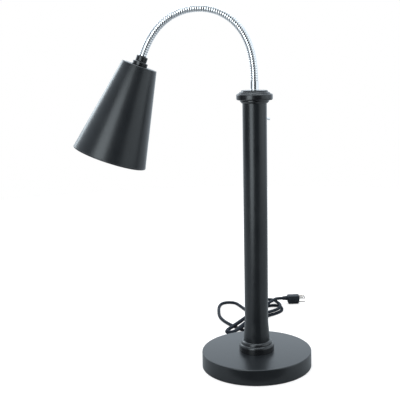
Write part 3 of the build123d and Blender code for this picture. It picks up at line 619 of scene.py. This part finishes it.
def knuckle_piece(name, s):
    """The hose's inner coil at a joint: a ball with a bore, which shows where the hose opens in a bend."""
    x, z, heading = neck_place(s)
    place = place_along((x, 0, z), (math.cos(heading), 0, math.sin(heading)), (0, 1, 0))
    half, bore, steps = 4.1, 6.1, 7
    heights = [joint_gap + (half - joint_gap) * k / steps for k in range(steps + 1)]
    upper = [(math.sqrt(knuckle ** 2 - h ** 2), h) for h in heights]
    lower = [(r, -h) for r, h in reversed(upper)]
    outside = (*lower, (knuckle_groove, 0, 0.3), *upper)
    return lathe(name, ((bore, -half), *outside, (bore, half)), looks["neck_chrome"], place, 64)


def build_neck():
    count = len(link_turns)
    bodies = ["stand"] + [f"link_{k:02d}" for k in range(2, count)] + ["lamp_head"]
    for k, body in enumerate(bodies):
        start = k * link_length + joint_gap if k else hose_start
        end = (k + 1) * link_length - joint_gap if k < count - 1 else count * link_length + hose_end
        node = f"neck_link_{k + 1:02d}"
        dress(hose_piece(f"neck_hose_{k + 1:02d}", start, end), body, "neck_chrome", node)
        if k:
            dress(knuckle_piece(f"neck_knuckle_{k:02d}", k * link_length), body, "neck_chrome", node)


# Shade


def shade_place():
    """The shade's frame: its flat top at zero, Z back up the neck."""
    x, z, heading = neck_place(link_length * len(link_turns) + bushing_height)
    return place_along((x, 0, z), (-math.cos(heading), 0, -math.sin(heading)), (0, 1, 0))


def build_shade():
    place = shade_place()
    top, mouth, low, wall = shade_top, shade_mouth, -shade_length, shade_wall
    slope, bead, bead_height = (mouth - top) / shade_length, mouth - 2.6, 3.2
    shell = lathe("shade_spun", (
        (nipple_radius, 0), (top, 0, 1.9), (mouth - 0.55, low + 3.4, 0.5), (mouth, low + 2.7, 0.8),
        (mouth, low, 1.2), (bead, low, 1.2), (bead, low + bead_height, 0.8),
        (mouth - bead_height * slope - wall - 0.1, low + bead_height, 0.2), (top - wall, -wall, 1.2),
        (nipple_radius, -wall)), looks["powder_black"], place, segments=256)
    dress(shell, "lamp_head", "powder_black", "shade")
    tier, seam = 7.6, 9.8
    collar = lathe("shade_collar_turned", (
        (nipple_radius, 0), (15.7, 0, 0.4), (15.7, tier, 1.2), (12.5, tier, 0.3), (11.2, seam, 0.3),
        (nipple_radius, seam)), looks["gloss_black"], place)
    dress(collar, "lamp_head", "gloss_black", "shade_collar")
    bore, outer, hose_seat = crest + 0.1, 11.8, 10.7
    end = lathe("neck_end_collar_turned", (
        (nipple_radius, seam), (outer, seam, 0.8), (outer, bushing_height, 1.8), (bore, bushing_height),
        (bore, hose_seat), (nipple_radius, hose_seat)), looks["gloss_black"], place)
    dress(end, "lamp_head", "gloss_black", "neck_end_collar")


# Bulb


def build_bulb():
    place, glass = shade_place(), 1.0
    throat = (bulb_neck_radius, cap_low - 20)
    flare, widest = (bulb_radius - 17, bulb_flare_z), (bulb_radius, bulb_widest_z)
    face_rise = 8
    shoulder = (bulb_radius - 6, bulb_face_z + face_rise)
    half = [(12.5, cap_low), (bulb_neck_radius, cap_low - 8), throat]
    half += arc(throat, (bulb_neck_radius + 8, (throat[1] + flare[1]) / 2 + 6), flare)
    half += arc(flare, (bulb_radius - 4, bulb_face_z + 45), widest)
    inner = [(r - glass, z - 0.2) for r, z in reversed(half)]
    reflector = lathe("bulb_reflector_silvered", half + inner, looks["bulb_silvered"], place, segments=128)
    dress(reflector, "bulb", "bulb_glass", "bulb_glass")
    dome_radius = (shoulder[0] ** 2 + face_rise ** 2) / (2 * face_rise)
    face = [widest] + arc(widest, (bulb_radius - 1.6, bulb_face_z + 16), shoulder, 8)
    lean, steps = math.asin(shoulder[0] / dome_radius), 12
    for k in range(steps - 1, -1, -1):
        a = lean * k / steps
        face.append((dome_radius * math.sin(a), bulb_face_z + dome_radius * (1 - math.cos(a))))
    lens = face + [(max(r - glass, 0), z + glass) for r, z in reversed(face)]
    front = lathe("bulb_face_frosted", lens, looks["bulb_glass"], place, segments=128)
    dress(front, "bulb", "bulb_glass", "bulb_glass")
    contact, pitch = cap_low + 26.4, 3.6
    thread = [(0, contact), (4.6, contact, 0.8), (5.6, cap_low + 24.2), (10.2, cap_low + 24, 0.8)]
    for k in range(6):
        z = cap_low + 21.5 - k * pitch
        thread += [(bulb_cap_radius, z, 1.2), (bulb_cap_radius - 1.3, z - pitch / 2, 1.2)]
    thread += [(bulb_cap_radius - 0.2, cap_low, 0.4), (0, cap_low)]
    cap = lathe("bulb_cap_rolled", thread, looks["bulb_cap"], place, segments=72)
    dress(cap, "bulb", "bulb_cap", "bulb_cap")


# Cord and plug

# Where the cord turns, in millimetres, from the grommet to the plug: the loose loop as it is routed in the
# solid model, then two loops of the folded length, which lies in three layers, and the short lead to the plug
loose_loop = [(0, 144.5, 11), (0, 161, 11), (-4, 182, 6.4), (-17, 204, 4), (-35, 228, 4), (-54, 256, 4),
              (-70.5, 290, 4), (-77.7, 322, 4), (-78.7, 362, 4), (-77, 404, 4), (-65.5, 433.5, 4),
              (-34, 433.5, 4), (-20, 402, 4), (-7, 365, 4)]
first_fold = [(1, 349, 4), (9, 340, 4), (20, 339, 4), (30, 350, 4), (42, 382, 4), (58, 398, 4), (80, 398, 4),
              (91, 380, 4), (89, 352, 4), (74, 333, 4), (50, 315, 4), (28, 285, 8), (2, 246, 12.5),
              (-24, 207, 12.7), (-39, 184, 12.7), (-45, 173, 12.7), (-53, 168, 12.7), (-61, 171, 12.7),
              (-63, 181, 12.7), (-56, 195, 12.7), (-38, 225, 12.7), (-8, 280, 12.7), (20, 329, 12.7),
              (37, 362, 12.7)]
second_fold = [(44, 394, 12.7), (46, 419, 9), (51, 433, 7.7), (59, 440.5, 7.7), (69, 438.5, 7.7),
               (75, 431, 7.9), (78, 423, 8.5), (81, 402, 11), (85, 383, 13.4), (86, 362, 12.7),
               (78, 340, 12.7), (58, 321, 13), (30, 288, 17), (4, 250, 21), (-20, 204, 21.4),
               (-36, 170, 21.4), (-43, 155, 21.4), (-51, 149, 21.4), (-60, 152, 21.4), (-62, 162, 21.4),
               (-55, 176, 21.4), (-33, 216, 21.4), (-3, 272, 21.4), (27, 322, 21.4), (45, 350, 21.4),
               (61, 377, 21.4)]
plug_lead = [(71, 396, 20.5), (78, 412, 18.4), (87, 421.5, 16), (96.52, 422.54, 16)]


def build_cord():
    points = loose_loop + first_fold + second_fold + plug_lead
    curve = bpy.data.curves.new("power_cord_laid", "CURVE")
    curve.dimensions = "3D"
    spline = curve.splines.new("NURBS")
    spline.points.add(len(points) - 1)
    for control, point in zip(spline.points, points):
        control.co = (*(Vector(point) * MM), 1)
    spline.order_u = 3
    spline.use_endpoint_u = True
    spline.resolution_u = 10
    curve.bevel_depth, curve.bevel_resolution = cord_radius * MM, 6
    curve.use_fill_caps = True
    curve.materials.append(looks["cord_jacket"])
    cord = bpy.data.objects.new("power_cord_laid", curve)
    bpy.context.scene.collection.objects.link(cord)
    dress(cord, "stand", "cord_jacket", "power_cord", "cord_hank")
    return cord


def build_grommet():
    place = place_along((0, base_radius, exit_height), (0, 1, 0), (1, 0, 0))
    bore, end = cord_radius + 0.1, grommet_flange + grommet_tail
    outside = [(bore, -5), (6.2, -5, 0.5), (6.2, 0, 0.3), (8.5, 0, 0.4), (8.5, grommet_flange, 0.9)]
    ribs = 6
    for k in range(ribs):
        low = grommet_flange + 0.6 + (grommet_tail - 1) * k / ribs
        wide = 6.5 - 1.25 * k / ribs
        outside += [(wide, low + 0.2, 0.3), (wide - 0.1, low + 2.4, 0.3), (wide - 0.9, low + 2.7, 0.2),
                    (wide - 0.9, low + 3.5, 0.2)]
    outside += [(5.2, end - 0.4, 0.3), (bore, end)]
    boot = lathe("cord_grommet_boot", outside, looks["grommet_rubber"], place, 64)
    dress(boot, "stand", "grommet_rubber", "cord_grommet")


def plug_section():
    """Half of the plug seen along its blades, from the middle of its top to the middle of its underside."""
    half, rise, drop = plug_half, plug_rise, plug_axis[2]
    top = [(0, rise), (0.4 * half, rise), (half - 2.6, rise), (half - 0.9, rise - 0.8), (half, rise - 2.8)]
    belly = arc((half, -2), (0.72 * half, -0.72 * drop), (0.42 * half, -drop), 8)
    return [*top, (half, -2), *belly, (0, -drop)]


def build_plug():
    turn = math.radians(plug_turn)
    along = Vector((math.cos(turn), math.sin(turn), 0))
    place = place_along(plug_axis, along, (-along.y, along.x, 0))
    section = plug_section()
    outline = section + [(-x, y) for x, y in reversed(section[1:-1])]
    count = len(outline)
    # Distance along the plug, how far the section is drawn in, and how far its lower corner is cut back.
    # Between the two rounded ends there are three grooves to grip it by
    stations = [(0.0, 1.8, 5.0), (0.5, 0.9, 3.2), (1.6, 0.2, 1.5), (3.0, 0.0, 0.5), (5.0, 0.0, 0.0)]
    for low in (7.5, 11.3, 15.1):
        stations += [(low, 0.0, 0.0), (low + 0.5, 0.55, 0.0), (low + 1.8, 0.55, 0.0), (low + 2.3, 0.0, 0.0)]
    stations += [(22.0, 0.0, 0.0), (26.5, 0.0, 0.0), (28.5, 0.0, 0.5), (30.0, 0.3, 1.5), (31.1, 0.9, 3.2),
                 (plug_length, 1.8, 5.0)]
    verts = []
    for z, draw, cut in stations:
        for x, y in outline:
            flank = abs(x) > plug_half - 3 and y < plug_rise - 2
            shift = draw if flank or not 7 < z < 17.5 else draw * 0.25
            size = math.hypot(x, y)
            x, y = x * (1 - shift / size), y * (1 - shift / size)
            lift = cut * max(0.0, -y / plug_axis[2])
            verts.append(place @ (Vector((x, y + lift, z)) * MM))
    faces = tube_faces(len(stations), count)
    faces.append(tuple(reversed(range(count))))
    faces.append(tuple(range((len(stations) - 1) * count, len(stations) * count)))
    body = mesh_object("plug_body_moulded", verts, faces, looks["plug_moulding"], 40)
    dress(body, "stand", "plug_moulding", "plug_body")
    relief, rings = [(0, 2), (6.6, 2), (6.6, 0.5, 0.4)], 4
    for k in range(rings):
        z = -0.6 - k * 3.3
        wide = 6.5 - 0.36 * k
        relief += [(wide, z - 0.2, 0.3), (wide - 0.1, z - 2.0, 0.3), (wide - 0.8, z - 2.3, 0.2),
                   (wide - 0.8, z - 2.9, 0.2)]
    relief += [(4.7, -relief_length, 0.4), (0, -relief_length)]
    boot = lathe("plug_relief_boot", relief, looks["plug_moulding"], place, 64)
    dress(boot, "stand", "plug_moulding", "plug_body")
    return body, boot


# Edges of the carried-over solids


def soften_edges(node, width):
    bevel = nodes[node].modifiers.new("soft edges", "BEVEL")
    bevel.width, bevel.segments, bevel.limit_method = width * MM, 2, "ANGLE"
    bevel.angle_limit = math.radians(40)
    bevel.harden_normals = True
    nodes[node].data.shade_smooth()


edge_widths = {
    "base_plate": 0.3, "base_screws": 0.2, "foot_plug": 0.3, "foot_bolt": 0.4, "foot_washer": 0.2,
    "neck_nipple": 0.2, "neck_locknut": 0.3, "switch_nut": 0.25, "shade_nipple": 0.2, "shade_locknut": 0.3,
    "socket_body": 0.8, "socket_contact": 0.15, "plug_blades": 0.2, "plug_ground_pin": 0.2,
}


set_camera()
set_stage()
set_lights()
build_base()
build_post()
build_cap()
build_neck()
build_switch()
build_shade()
build_bulb()
build_grommet()
cord = build_cord()
body, boot = build_plug()
for name, width in edge_widths.items():
    soften_edges(name, width)
